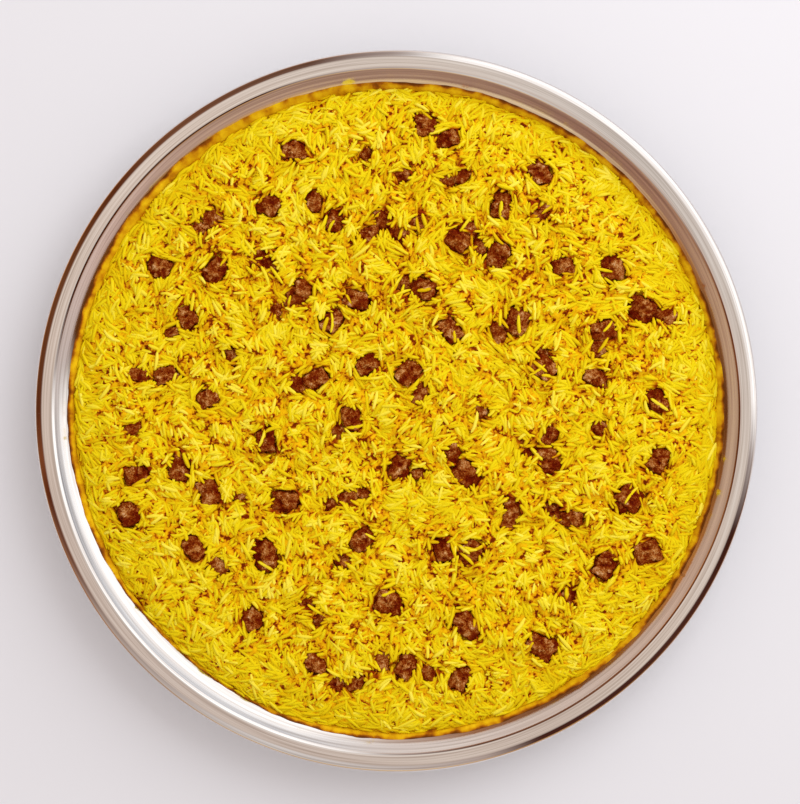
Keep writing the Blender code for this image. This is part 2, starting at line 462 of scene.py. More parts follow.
# ---- The heap of rice -------------------------------------------------------------
# Long-grain rice heaped to just under the rim: a steep shoulder inside the side, then
# a level top with low swells. This is its height; its grains and core come below.

RICE_AT_WALL = 37.5 * MM
HEAP_RISE = 10.5 * MM
SHOULDER = 18 * MM
SWELLS = ((0.7, 150, 20), (0.6, 118, 100), (0.5, 83, 155), (0.4, 64, 60), (0.3, 47, 130))
EDGE_WAVES = ((0.7, 5), (0.5, 11), (0.4, 17))
CORE_DEPTH = 4.5 * MM
CORE_EDGE = 1.0 * MM


def heap_height(x, y):
    """The heap's top, as the CAD solid has it.

    The edge's height at the wall is blended into the level top by the share
    1 - exp(-inward / shoulder), and the level top has five long plane waves.
    """
    bearing = np.arctan2(y, x)
    edge = RICE_AT_WALL + sum(a * MM * np.sin(n * bearing + n) for a, n in EDGE_WAVES)
    inward = np.maximum(wall_radius(RICE_AT_WALL) - np.hypot(x, y), 0)
    grown = 1 - np.exp(-inward / SHOULDER)
    swell = sum(
        h * MM * np.sin(math.tau / (w * MM) * (x * math.cos(a) + y * math.sin(a)) + i)
        for i, (h, w, a) in enumerate((h, w, math.radians(b)) for h, w, b in SWELLS)
    )
    return edge * (1 - grown) + grown * (RICE_AT_WALL + HEAP_RISE + swell)


# ---- The scraps of meat -----------------------------------------------------------
# Smaller and narrower pieces of the same meat, more than half sunk between the grains.
# Each is a rough block as long as its row says, laid at its bearing and a little tilted,
# and it is wetter and so darker than the large pieces.

# x, y and length in mm, bearing in degrees
SCRAPS = (
    (-30, 250, 20, 135), (-178, 189, 24, 35), (-190, 178, 18, 150), (-134, 148, 28, 170),
    (-122, 139, 16, 110), (-117, 99, 23, 60), (-218, 77, 17, 20), (-160, 55, 27, 110),
    (-250, 35, 22, 170), (-95, 25, 23, 140), (-28, 172, 24, 10), (-14, 186, 22, 110),
    (2, 172, 22, 150), (20, 182, 16, 30), (5, 228, 18, 20), (66, 230, 22, 60),
    (50, 224, 18, 160), (142, 192, 24, 110), (70, 177, 24, 165), (80, 160, 18, 130),
    (8, 121, 24, 100), (264, 92, 26, 150), (100, 76, 24, 110), (198, 58, 26, 110),
    (24, 18, 28, 75), (-256, -17, 20, 40), (-57, -20, 21, 60), (-152, -83, 15, 0),
    (-48, -84, 20, 10), (-33, -79, 18, 150), (-66, -92, 18, 30), (-173, -150, 24, 150),
    (-52, -142, 28, 110), (-88, -183, 24, 130), (-76, -203, 20, 60), (-38, -264, 22, 30),
    (-57, -266, 18, 150), (-14, -243, 24, 80), (21, -61, 15, 20), (56, -42, 24, 120),
    (86, -2, 23, 170), (128, -38, 24, 110), (150, -25, 20, 60), (196, -18, 21, 50),
    (112, -92, 22, 100), (110, -106, 22, 70), (152, -96, 22, 150), (216, -96, 18, 30),
    (168, -178, 26, 60), (32, -255, 19, 160), (144, 56, 18, 170),
)
# Width as a share of length, thickness as a share of width, how far the top stands out,
# the spread of the tilt in radians, and how much darker it is.
SCRAP_WIDTH = (0.5, 0.8)
SCRAP_THICKNESS = (0.7, 0.9)
SCRAP_SHOWS = (1.5 * MM, 4 * MM)
SCRAP_TILT = 0.15
SCRAP_WETNESS = 0.35
SCRAP_HARDNESS = 6.0
SCRAP_AROUND, SCRAP_DOWN = 32, 18


def turned_block(length, width, thickness, bearing, tilt):
    """Normals and distances of a block's six sides, tilted and then turned round Z."""
    half = np.array([length, width, thickness]) / 2
    c, s = math.cos(tilt), math.sin(tilt)
    tilted = np.array([[c, 0, s], [0, 1, 0], [-s, 0, c]])
    c, s = math.cos(bearing), math.sin(bearing)
    spun = np.array([[c, -s, 0], [s, c, 0], [0, 0, 1]])
    axes = (spun @ tilted).T
    return np.concatenate([axes, -axes]), np.concatenate([half, half])


rand = np.random.default_rng(58)
scrap_ways, one_scrap = sphere_grid(SCRAP_AROUND, SCRAP_DOWN)
scrap_skins, scrap_light_and_shade = [], []
for number, (x, y, length, degrees) in enumerate(SCRAPS):
    length *= MM
    width = length * rand.uniform(*SCRAP_WIDTH)
    thickness = width * rand.uniform(*SCRAP_THICKNESS)
    sides, reach = turned_block(
        length, width, thickness, math.radians(degrees), rand.normal(0, SCRAP_TILT)
    )
    radius = block_radius(scrap_ways, sides, reach, SCRAP_HARDNESS)
    skin, painted_light_and_shade = meat_skin(scrap_ways, radius, radius.mean(), 300 + number)
    top = float(heap_height(x * MM, y * MM)) + rand.uniform(*SCRAP_SHOWS)
    skin += [x * MM, y * MM, top - skin[:, 2].max()]
    scrap_skins.append(skin)
    scrap_light_and_shade.append(painted_light_and_shade - SCRAP_WETNESS)
scrap_faces = [
    np.concatenate([part + k * len(scrap_ways) for k in range(len(SCRAPS))])
    for part in one_scrap
]
meat_piece("meat_scraps", np.concatenate(scrap_skins), scrap_faces,
           np.concatenate(scrap_light_and_shade))


# ---- The loose grains -------------------------------------------------------------
# Cooked extra-long basmati, boiled apart and dyed yellow: slender, slightly bent
# grains that taper to blunt tips. Each one lies where it came to rest, on the grains,
# meat or steel below it. Points deeper in the heap are painted more golden and orange,
# and the raised clumps paler: a painted light and shade.

GRAIN_LENGTH = 18 * MM
LENGTH_SPREAD = 0.17
LENGTH_LIMITS = (0.5, 1.4)
GRAIN_RADIUS = 1.95 * MM
GIRTHS = (0.82, 1.15)
FLATNESS = 0.78
BEND_SPREAD = 0.065
GRAIN_SIDES = 5
# A soft grain sinks into those below it by this share of its own radius.
SINK = 1.5
# Grains fall in batches, some way apart, on a grid of heights, and each turns within the
# spread of bearings, in radians, that its place in the heap favours.
CELL = 0.8 * MM
BATCHES = 300
BATCH_PITCH = 17 * MM
YAW_TRIES = 7
YAW_SPREAD = 0.55
# Clumps stand up, places soaked with saffron water sink in, and grains are banked up
# against the side and piled round the meat.
CLUMP_RISE = 2.4 * MM
SOAKED_DROP = 2.6 * MM
BANK_RISE = 1.4 * MM
PILE_RISE = 2 * MM
# The heap's ragged edge: how far it draws back on one side, and how far it wanders.
EDGE_EBB = 2.2 * MM
EBB_BEARING = math.radians(145)
EDGE_RAGGED = 2.8 * MM
EDGE_JITTER = 1.6
EDGE_JITTER_LIMITS = (-3, 2.4)
# The level starts below the heap's top by the first share of the core's depth, and rises
# by the second. A grain stays if it rests this far below the level, give or take a spread.
LEVEL_LOW, LEVEL_RISE = 0.86, 1.15
LEVEL_CLEARANCE = 1.4 * MM
LEVEL_SPREAD = 0.8
# How far a tip may stand above the heap, in mm: a share of the way in from the side.
TIP_ROOM = (1.4, 7)
TIP_ROOM_REACH = 12 * MM
# The chance that a grain stays on top of a piece of meat.
ON_MEAT = 0.002
# The share of grains wedged by their neighbours, and the spread of their slopes.
WEDGED_SHARE = 0.35
WEDGED_SLOPE = 0.36
STEEPEST = 0.9
RING_PLACES = np.array([-0.5, -0.41, -0.15, 0.15, 0.41, 0.5])
RING_GIRTHS = np.array([0.0, 0.7, 1.0, 1.0, 0.7, 0.0])

rand = np.random.default_rng(2026)
half_cells = int(RIM_RADIUS / CELL) + 4
ticks = (np.arange(2 * half_cells + 1) - half_cells) * CELL
grid_x, grid_y = np.meshgrid(ticks, ticks, indexing="ij")
grid_r = np.hypot(grid_x, grid_y)
wall_top = steel_height(grid_r)
flat_grid = np.stack([grid_x, grid_y, np.zeros_like(grid_x)], -1)
clumps = octaves(flat_grid / (11 * MM), 83, 2)
soaked = np.clip((octaves(flat_grid / (6.5 * MM), 97, 2) - 0.5) * 2.2, 0, 1)
target = heap_height(grid_x, grid_y)
inward = wall_radius(RICE_AT_WALL) - grid_r
depth = CORE_EDGE + (CORE_DEPTH - CORE_EDGE) * np.clip(inward / (9 * MM), 0, 1)
ground = np.maximum(target - depth, wall_top)


def cell_of(x, y):
    """The flat number of the grid cell that holds each place."""
    i = np.clip(np.rint(x / CELL).astype(int) + half_cells, 0, 2 * half_cells)
    j = np.clip(np.rint(y / CELL).astype(int) + half_cells, 0, 2 * half_cells)
    return i * (2 * half_cells + 1) + j


def widened(layer):
    """The highest value of each cell of a grid and of the four cells beside it."""
    beside = [np.roll(layer, step, axis) for axis in (0, 1) for step in (-1, 1)]
    return np.maximum.reduce([layer, *beside])


def raise_ground(points):
    """Raises the ground to the highest of the points over each cell and its neighbours."""
    layer = np.full(ground.size, -1.0)
    np.maximum.at(layer, cell_of(points[:, 0], points[:, 1]), points[:, 2])
    np.maximum(ground, widened(layer.reshape(ground.shape)), out=ground)


for skin in meat_tops + scrap_skins:
    raise_ground(skin)
meat_cover = ground > target - 2.0 * MM
meat_cover &= inward > 8 * MM
near_meat = meat_cover.astype(float)
for spread in range(6):
    near_meat = widened(near_meat)

PROBES = np.linspace(-0.5, 0.5, 9)
left, right = [g.ravel() for g in np.meshgrid(range(4), range(5, 9), indexing="ij")]
flat_ground = ground.ravel()
banked = BANK_RISE * np.exp(-np.maximum(inward, 0) / (6 * MM))
piled = PILE_RISE * near_meat
# The heap is patted down by the side, so its clumps stand less high there.
clumped = CLUMP_RISE * clumps * np.clip(inward / (30 * MM), 0.3, 1)
flat_target = (target + clumped - SOAKED_DROP * soaked + banked + piled).ravel()
lay = (2.2 * octaves(flat_grid / (24 * MM), 89, 2)).ravel()
flat_meat = meat_cover.ravel()
flat_inward = inward.ravel()
edge_radius = steel_radius(RICE_AT_WALL + 3.5 * MM) + 0.6 * MM
highest_tip = steel_radius(RICE_AT_WALL + 6.5 * MM)
flat_ragged = octaves(flat_grid / (13 * MM), 61, 2).ravel()


def scattered(rand):
    """Places on a square lattice, shifted, turned and jittered: no two grains meet."""
    reach = int(RIM_RADIUS / BATCH_PITCH) + 2
    line = np.arange(-reach, reach + 1) * BATCH_PITCH
    u, v = np.meshgrid(line, line)
    u = u.ravel() + rand.uniform(0, BATCH_PITCH)
    v = v.ravel() + rand.uniform(0, BATCH_PITCH)
    turn = rand.uniform(0, math.tau)
    x = u * math.cos(turn) - v * math.sin(turn) + rand.normal(0, 1 * MM, u.size)
    y = u * math.sin(turn) + v * math.cos(turn) + rand.normal(0, 1 * MM, u.size)
    inside = np.hypot(x, y) < edge_radius
    return x[inside], y[inside]


def settle(x, y, yaw, length):
    """The height of a grain's middle and its slope, where it rests on two of the probes.

    For each probe left of the middle and each one right of it, the line through both
    tops gives a height at the middle; the highest line is the one that carries it.
    """
    s = PROBES * length[..., None]
    cells = cell_of(x[..., None] + s * np.cos(yaw)[..., None],
                    y[..., None] + s * np.sin(yaw)[..., None])
    h = flat_ground[cells]
    s_left, s_right = s[..., left], s[..., right]
    h_left, h_right = h[..., left], h[..., right]
    middle = (h_left * s_right - h_right * s_left) / (s_right - s_left)
    best = middle.argmax(-1)[..., None]
    slope = np.take_along_axis((h_right - h_left) / (s_right - s_left), best, -1)[..., 0]
    return np.take_along_axis(middle, best, -1)[..., 0], slope, h, s, cells


grains = {name: [] for name in ("x", "y", "z", "yaw", "slope", "length", "girth")}
for batch in range(BATCHES):
    x, y = scattered(rand)
    n = len(x)
    length = GRAIN_LENGTH * np.clip(rand.normal(1.0, LENGTH_SPREAD, n), *LENGTH_LIMITS)
    girth = GRAIN_RADIUS * rand.uniform(*GIRTHS, n)
    # Of a few bearings, a falling grain takes the one in which it comes to rest lowest.
    here = cell_of(x, y)
    tries = lay[here] + rand.normal(0, YAW_SPREAD, (YAW_TRIES, n))
    rests = settle(x[None], y[None], tries, np.broadcast_to(length, tries.shape))[0]
    yaw = tries[rests.argmin(0), np.arange(n)]
    # One that would lie over the heap's ragged edge slides in until its tip is at the edge.
    ebb = EDGE_EBB * (1 + np.cos(np.arctan2(y, x) - EBB_BEARING)) / 2
    ebb += EDGE_RAGGED * flat_ragged[here]
    jitter = np.clip(rand.normal(0, EDGE_JITTER, n), *EDGE_JITTER_LIMITS) * MM
    limit = np.minimum(edge_radius - ebb + jitter, highest_tip)
    outer = np.maximum(*[
        np.hypot(x + end * length * np.cos(yaw), y + end * length * np.sin(yaw))
        for end in (-0.5, 0.5)
    ])
    kept_in = 1 - np.clip(outer - limit, 0, length) / np.hypot(x, y)
    x, y = x * kept_in, y * kept_in
    here = cell_of(x, y)
    rest, slope, h, s, cells = settle(x, y, yaw, length)
    slope = np.clip(slope, -STEEPEST, STEEPEST)
    # A grain wedged by its neighbours sticks up at one end.
    wedged = rand.random(n) < WEDGED_SHARE
    slope += np.where(wedged, rand.normal(0, WEDGED_SLOPE, n), 0)
    rest = (h - slope[:, None] * s).max(1) - SINK * girth
    # The heap grows evenly: its level rises from the core to the top, batch by batch.
    level = flat_target[here] - CORE_DEPTH * max(0, LEVEL_LOW - LEVEL_RISE * batch / BATCHES)
    allowed = np.where(
        flat_meat[cells].sum(1) > 2,
        rand.random(n) < ON_MEAT,
        rest < level - LEVEL_CLEARANCE + rand.normal(0, LEVEL_SPREAD, n) * MM,
    )
    tip = rest[:, None] + girth[:, None] + slope[:, None] * s[:, [0, -1]]
    tip_cells = cells[:, [0, -1]]
    room = np.clip(flat_inward[tip_cells] / TIP_ROOM_REACH, *TIP_ROOM) * MM
    highest = np.minimum(flat_target[tip_cells] + room, RIM_TOP - 1 * MM)
    allowed &= (tip < highest).all(1)
    keep = np.flatnonzero(allowed)
    z = rest[keep] + girth[keep]
    laid = (x[keep], y[keep], z, yaw[keep], slope[keep], length[keep], girth[keep])
    for name, values in zip(grains, laid):
        grains[name].append(values)
    along = np.linspace(-0.48, 0.48, 19)[None, :, None] * length[keep, None, None]
    side = np.array([-0.75, 0.0, 0.75])[None, None] * girth[keep, None, None]
    cos, sin = np.cos(yaw[keep])[:, None, None], np.sin(yaw[keep])[:, None, None]
    top = (z[:, None, None] + along * slope[keep, None, None]
           + girth[keep, None, None] * FLATNESS * np.array([0.5, 0.9, 0.5]))
    covered = cell_of(x[keep, None, None] + along * cos - side * sin,
                      y[keep, None, None] + along * sin + side * cos)
    np.maximum.at(flat_ground, covered.ravel(), top.ravel())

grains = {name: np.concatenate(values) for name, values in grains.items()}

# Grains that later ones cover entirely are left out: the top of each is compared with
# the highest surface at nine places along it.
s = PROBES * 0.92 * grains["length"][:, None]
over = cell_of(grains["x"][:, None] + s * np.cos(grains["yaw"])[:, None],
               grains["y"][:, None] + s * np.sin(grains["yaw"])[:, None])
top = grains["z"][:, None] + s * grains["slope"][:, None] + grains["girth"][:, None]
seen = (top > flat_ground[over] - 0.2 * MM).sum(1) > 2
grains = {name: values[seen] for name, values in grains.items()}


def grain_points(g, rand):
    """Each grain's skin: rings of points round a bent axis, and a point at each tip.

    The axis leaves the straight line by bend times 1 - (2 t)^2, t from -1/2 to 1/2.
    """
    n = len(g["x"])
    level = 1 / np.sqrt(1 + g["slope"] ** 2)
    axis = np.stack(
        [np.cos(g["yaw"]) * level, np.sin(g["yaw"]) * level, g["slope"] * level], 1
    )
    across = np.stack([-np.sin(g["yaw"]), np.cos(g["yaw"]), np.zeros(n)], 1)
    over = np.cross(axis, across)
    lean = rand.normal(0.0, 0.9, n)
    bend_way = np.cos(lean)[:, None] * across + np.sin(lean)[:, None] * over
    bend = rand.normal(0, BEND_SPREAD, n) * g["length"]
    centre = np.stack([g["x"], g["y"], g["z"]], 1)
    t = RING_PLACES
    spine = (
        centre[:, None]
        + axis[:, None] * (t[None] * g["length"][:, None])[..., None]
        + bend_way[:, None] * (bend[:, None] * (0.6 - (2 * t[None]) ** 2))[..., None]
    )
    phase = rand.random(n) * math.tau
    turn = phase[:, None] + math.tau * np.arange(GRAIN_SIDES) / GRAIN_SIDES
    ring = (
        np.cos(turn)[..., None] * across[:, None]
        + FLATNESS * np.sin(turn)[..., None] * over[:, None]
    )
    girth = g["girth"][:, None] * RING_GIRTHS[None]
    rings = spine[:, 1:-1, None] + girth[:, 1:-1, None, None] * ring[:, None]
    return np.concatenate(
        [rings.reshape(n, -1, 3), spine[:, :1], spine[:, -1:]], 1
    )


def grain_faces():
    """One grain's faces, bands and two fans, which go round the other way to turned."""
    flat = np.zeros((len(RING_PLACES), 2))
    quads, *tips = [np.roll(part[:, ::-1], 1, 1) for part in turned(flat, GRAIN_SIDES)[1]]
    return [quads, np.concatenate(tips)]


def dye_of(g, rand):
    """How deep each grain is dyed, from 0, paler on the raised clumps (painted light), and
    how much more painted shade its lower side gets.

    That extra painted shade is stronger in stains: noise past a threshold, soaked places,
    and the rim of each piece of meat.
    """
    here = cell_of(g["x"], g["y"])
    places = np.stack([g["x"], g["y"], np.zeros(len(here))], 1)
    patch = octaves(places / (13 * MM), 71, 2)
    stained = np.clip((patch - 0.55) * 1.5, 0, 0.5) + 0.3 * soaked.ravel()[here]
    stained += near_meat.ravel()[here] * np.clip(rand.normal(0.3, 0.25, len(here)), 0, 0.8)
    chance = rand.normal(0, 0.045, len(here))
    soak = 0.16 * soaked.ravel()[here]
    return 0.17 - 0.09 * clumps.ravel()[here] + chance + soak, stained


# The heap's surface levelled over 4 mm, from which a point's depth is measured.
surface = ground.copy()
for spread in range(5):
    for axis in (0, 1):
        beside = [np.roll(surface, step, axis) for step in (-1, 1)]
        surface = (
            np.maximum(surface, np.maximum(*beside)) if spread < 2
            else (surface + beside[0] + beside[1]) / 3
        )

# Dyed basmati: an even starchy yellow, paler at random and on the raised clumps (painted
# light), with a soft moist gloss. The grains' undersides and the gaps are painted darker
# and more orange the deeper they lie (painted shade), more so in saffron stains. The map's
# u is this dye and painted shade at each corner, and its v is the place along the grain.
rice, tree, shader = new_material("dyed_basmati_rice")
place = add_node(tree, "UVMap", uv_map="OFBake")
parts = add_node(tree, "SeparateXYZ", Vector=place)
tone = add_ramp(
    tree, parts.outputs["X"], [(0.02, "#f0e04c"), (0.16, "#e1cc10"), (0.34, "#d6b206"),
                               (0.52, "#c88f04"), (0.70, "#aa5a04"), (0.92, "#882804")]
)
shade(
    tree, shader, Base_Color=tone, Roughness=0.55, Specular_IOR_Level=0.16,
    Specular_Tint=linear("#ffe070"),
)

dye, stained = dye_of(grains, rand)
skins = grain_points(grains, rand)
# A grain that lies against the side is pressed flat on the steel.
skin_radius = np.hypot(skins[..., 0], skins[..., 1])
pressed = np.minimum(1, (steel_radius(skins[..., 2]) - 0.1 * MM) / skin_radius)
skins[..., :2] *= pressed[..., None]
# The deeper a point lies below the levelled surface, the more golden and orange it is dyed: a
# painted shade on the grains' undersides and in the gaps.
depth = surface.ravel()[cell_of(skins[..., 0], skins[..., 1])] - skins[..., 2]
low = np.clip((depth - 0.6 * MM) / (3 * MM), 0, 1.5)
dye_and_painted_shade = np.clip(dye[:, None] + (0.34 + stained[:, None]) * low, 0.02, 0.98)
stride = skins.shape[1]
one_grain = grain_faces()
ring_of = np.append(np.repeat(np.arange(1, len(RING_PLACES) - 1), GRAIN_SIDES),
                    [0, len(RING_PLACES) - 1])
turn_of = np.append(np.tile(np.arange(GRAIN_SIDES), len(RING_PLACES) - 2), [0, 0])
KINDS = ("pale", "bright", "yellow", "golden", "amber", "stained")
for kind, members in zip(KINDS, np.array_split(np.argsort(dye), len(KINDS))):
    shift = np.arange(len(members))[:, None, None] * stride
    faces = [(part[None] + shift).reshape(-1, part.shape[1]) for part in one_grain]
    corners = np.concatenate([part.ravel() for part in faces])
    spot = corners % stride
    around = np.cos(math.tau * turn_of[spot] / GRAIN_SIDES)
    u = dye_and_painted_shade[members].ravel()[corners] + 0.006 * around
    v = 0.5 + 0.9 * RING_PLACES[ring_of[spot]]
    piece = mesh_object(
        f"rice_grains_{kind}", skins[members].reshape(-1, 3), faces, rice,
        uv=np.stack([u, v], 1),
    )


# ---- The rice under the grains ----------------------------------------------------
# The lower layers, packed together by their own starch, are one solid core. Its top
# follows the loose grains half a grain down, so that it fills the gaps between them. It is
# golden, with dark orange-brown patches of noise that stand in for the shade deep in the
# gaps (painted shade), browner where soaked with saffron water, and its top has small pits.

CORE_BELOW = 1.3 * MM
CORE_AT_WALL = 39.6 * MM
PIT_DEPTH = 2.6 * MM
CORE_STEPS = 276
# The core keeps this far under the heap's own top beside meat, and its foot is drawn in.
BESIDE_MEAT = 1.4 * MM
FOOT_INWARD = 44 * MM


def pits_at(x, y):
    """0 on the level core to 1 in a pit: noise of 4 mm past a threshold."""
    ground = np.stack([x, y, np.zeros_like(x)], -1)
    return np.clip((octaves(ground / (4 * MM), 31, 2) - 0.35) * 2.5, 0, 1)


def disc_grid(steps):
    """Even places over a disc of radius 1, from a square grid of (steps + 1)^2 places.

    A place's radius is the larger of its two coordinates, and its bearing is the
    smaller one's share of an eighth of a turn off the larger one's axis.
    """
    line = np.linspace(-1, 1, steps + 1)
    a, b = np.meshgrid(line, line, indexing="ij")
    wide = np.abs(a) >= np.abs(b)
    big, small = np.where(wide, a, b), np.where(wide, b, a)
    turn = math.pi / 4 * small / np.where(big == 0, 1, big)
    x = big * np.where(wide, np.cos(turn), np.sin(turn))
    y = big * np.where(wide, np.sin(turn), np.cos(turn))
    return x, y


def core_surface():
    """The core's top on a disc grid, its pits, and a lower side that closes it.

    The lower side runs from the grid's border down to that border drawn in, closed by a small
    flat floor.
    """
    x, y = disc_grid(CORE_STEPS)
    edge = steel_radius(CORE_AT_WALL) - 0.4 * MM
    x, y = x * edge, y * edge
    inward = np.clip((edge - np.hypot(x, y)) / (6 * MM), 0, 1)
    pits = pits_at(x, y) * inward
    level = surface.ravel()[cell_of(x, y)] - CORE_BELOW
    beside_meat = near_meat.ravel()[cell_of(x, y)] > 0
    level = np.where(beside_meat, np.minimum(level, heap_height(x, y) - BESIDE_MEAT), level)
    z = level * inward + CORE_AT_WALL * (1 - inward) - PIT_DEPTH * pits
    z = np.maximum(z, SHEET + 2 * MM)
    i, j = np.meshgrid(np.arange(CORE_STEPS), np.arange(CORE_STEPS), indexing="ij")
    first = (i * (CORE_STEPS + 1) + j).ravel()
    across = CORE_STEPS + 1
    quads = np.stack([first, first + across, first + across + 1, first + 1], 1)
    # The border of the grid in order, counter-clockwise, for the side and the floor.
    line = np.arange(CORE_STEPS)
    border = np.concatenate([
        line * across, CORE_STEPS * across + line,
        (CORE_STEPS - line) * across + CORE_STEPS, CORE_STEPS - line,
    ])
    top = np.stack([x, y, z], -1).reshape(-1, 3)
    foot = top[border] * (1 - FOOT_INWARD / edge)
    foot[:, 2] = SHEET + 1 * MM
    points = np.concatenate([top, foot, [[0, 0, SHEET + 1 * MM]]])
    k = np.arange(len(border))
    after = (k + 1) % len(border)
    side = np.stack([border, len(top) + k, len(top) + after, border[after]], 1)
    floor = np.stack([np.full(len(k), len(points) - 1), len(top) + after, len(top) + k], 1)
    return points, [np.concatenate([quads, side]), floor]


# The rice between and under the loose grains: golden starch, with orange-brown patches that
# are a painted shade for the deep gaps, browner where soaked.
deep_rice, tree, shader = new_material("deep_saffron_rice")
where = add_node(tree, "TexCoord").outputs["Object"]
fine = add_node(tree, "TexNoise", Vector=where, Scale=230.0, Detail=2.0)
wet = add_node(tree, "Attribute", attribute_name="soaked")
# Darker where soaked, a stain, and dark orange-brown at the noise's low end, a painted shade
# in the gaps.
tone_with_painted_shade = add_node(
    tree, "Math", {0: wet.outputs["Fac"], 1: -0.12, 2: fine}, operation="MULTIPLY_ADD"
)
tone = add_ramp(
    tree, tone_with_painted_shade, [(0.35, "#6a1c00"), (0.42, "#a85404"), (0.48, "#d09404"), (0.61, "#e2b208")]
)
shade(
    tree, shader, Base_Color=tone, Roughness=0.55, Specular_IOR_Level=0.16,
    Specular_Tint=linear("#ffe070"),
)

core_points, core_faces = core_surface()
core = mesh_object("rice_core", core_points, core_faces, deep_rice)
keep_values(core, "soaked", soaked.ravel()[cell_of(core_points[:, 0], core_points[:, 1])])
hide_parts("rice")


# ---- The smear on the side --------------------------------------------------------
# A thin golden film round the heap on the steel, higher on one side, drawn out in strokes up
# the wall: partly ghee and starch that the rice has left as it was pressed and levelled,
# partly a painted reflection of the rice in the steel side.

SMEAR_TURNS = 720
SMEAR_TOP = 45.8 * MM
SMEAR_LOW = RICE_AT_WALL - 9 * MM
SMEAR_STROKES = 0.6 * MM
SMEAR_THICKNESS = 0.6 * MM
SMEAR_OFF = 0.05 * MM
# Where the film stands higher or lower: bearing and half-width in degrees, and by how much.
SMEAR_SWELLS = ((128, 36, 2 * MM), (228, 20, -3.4 * MM), (-32, 24, 1.2 * MM))
# Rows of the film, from its lower edge up: place, share of the thickness, and how dark its
# painted line of shade and reflection is.
SMEAR_ROWS = np.array([0.0, 0.3, 0.6, 0.84, 0.94, 1.0])
SMEAR_THINS = np.array([1.0, 1.0, 0.9, 0.6, 0.4, 0.15])
SMEAR_PAINTED_LINE = np.array([0.0, 0.0, 0.0, 0.05, 0.75, 1.1])
# Where the upper edge has no painted dark line and stays golden: bearing and half-width in
# degrees.
SMEAR_UNLINED = (114, 12)


def smear_surface():
    """A closed strip on the sloping side: up the wall's face and back down over it.

    Its height at a bearing is a level, three bell-shaped swells, and noise of 19 mm. Its
    upper edge is darkened unevenly, a painted line of shade and reflection, but for one
    bell-shaped stretch where it is left golden.
    """
    turn = math.tau * np.arange(SMEAR_TURNS) / SMEAR_TURNS
    unit = np.stack([np.cos(turn), np.sin(turn), np.zeros_like(turn)], 1)
    strokes = octaves(unit * RIM_RADIUS / (19 * MM), 131, 4)
    top = SMEAR_TOP + SMEAR_STROKES * strokes
    for degrees, half_width, by in SMEAR_SWELLS:
        top += by * np.exp(-(((np.degrees(turn) - degrees) / half_width) ** 2))
    rows = len(SMEAR_ROWS)
    z = SMEAR_LOW + SMEAR_ROWS[:, None] * (top - SMEAR_LOW)[None]
    thick = SMEAR_THICKNESS * SMEAR_THINS[:, None]
    off = np.concatenate([np.full((rows, 1), SMEAR_OFF), thick[::-1] + SMEAR_OFF])
    z = np.concatenate([z, z[::-1]])
    side = steel_radius(z) - off * math.sin(WALL_SLOPE)
    z = z + off * math.cos(WALL_SLOPE)
    points = np.stack([side * unit[None, :, 0], side * unit[None, :, 1], z], -1)
    row, k = np.meshgrid(np.arange(2 * rows), np.arange(SMEAR_TURNS), indexing="ij")
    after, above = (k + 1) % SMEAR_TURNS, (row + 1) % (2 * rows)
    quads = np.stack([row * SMEAR_TURNS + k, above * SMEAR_TURNS + k,
                      above * SMEAR_TURNS + after, row * SMEAR_TURNS + after], -1)
    bearing, half_width = SMEAR_UNLINED
    unlined = np.exp(-(((np.degrees(turn) - bearing) / half_width) ** 2))
    uneven = np.clip(0.75 + 0.5 * octaves(unit * RIM_RADIUS / (22 * MM), 137, 2), 0, 1)
    painted_line = np.concatenate([SMEAR_PAINTED_LINE, SMEAR_PAINTED_LINE[::-1]])[:, None] * uneven * (1 - unlined)
    return points.reshape(-1, 3), [quads.reshape(-1, 4)], painted_line.ravel()


# Starchy ghee and a painted reflection of the rice: golden, streaked with amber up the wall
# like mirrored grains, darker along its upper edge (painted shade and reflection), and
# glossier than the rice.
ghee_and_reflection, tree, shader = new_material("golden_ghee_and_painted_reflection")
where = add_node(tree, "TexCoord").outputs["Object"]
drawn = add_node(tree, "VectorMath", {0: where, 1: (1, 1, 0.6)}, operation="MULTIPLY")
strokes = add_node(tree, "TexNoise", Vector=drawn, Scale=75.0, Detail=4.0, Roughness=0.5)
edge = add_node(tree, "Attribute", attribute_name="painted_line")
toned = add_node(
    tree, "Math", {0: edge.outputs["Fac"], 1: -0.34, 2: strokes}, operation="MULTIPLY_ADD"
)
tone = add_ramp(
    tree, toned, [(0.18, "#5e2c08"), (0.31, "#94500a"), (0.42, "#c08608"),
                  (0.54, "#d4a60c"), (0.70, "#e8c216")]
)
shade(
    tree, shader, Base_Color=tone, Roughness=0.45, Specular_IOR_Level=0.25,
    Specular_Tint=linear("#ffe070"),
)

smear_points, smear_faces, smear_painted_line = smear_surface()
smear_and_reflection = mesh_object("rice_smear_and_reflection", smear_points, smear_faces, ghee_and_reflection)
keep_values(smear_and_reflection, "painted_line", smear_painted_line)


# ---- The table and the light ------------------------------------------------------
# A plain pale table, lit by a large soft window to the upper right and evenly from all
# round. The steel mirrors a painted room: a brown line of wooden things, pale and brown
# walls, a bright doorway and the ceiling.

table, tree, shader = new_material("white_table")
shade(tree, shader, Base_Color=linear("#d9dbe0"), Roughness=0.6)
TABLE_HALF = 6.0
TABLE_BELOW = 0.2 * MM
corners = np.array([[-1, -1, 0], [1, -1, 0], [1, 1, 0], [-1, 1, 0]]) * TABLE_HALF
corners[:, 2] = -TABLE_BELOW
floor = mesh_object("floor", corners, [np.array([[0, 1, 2, 3]])], table, body="")

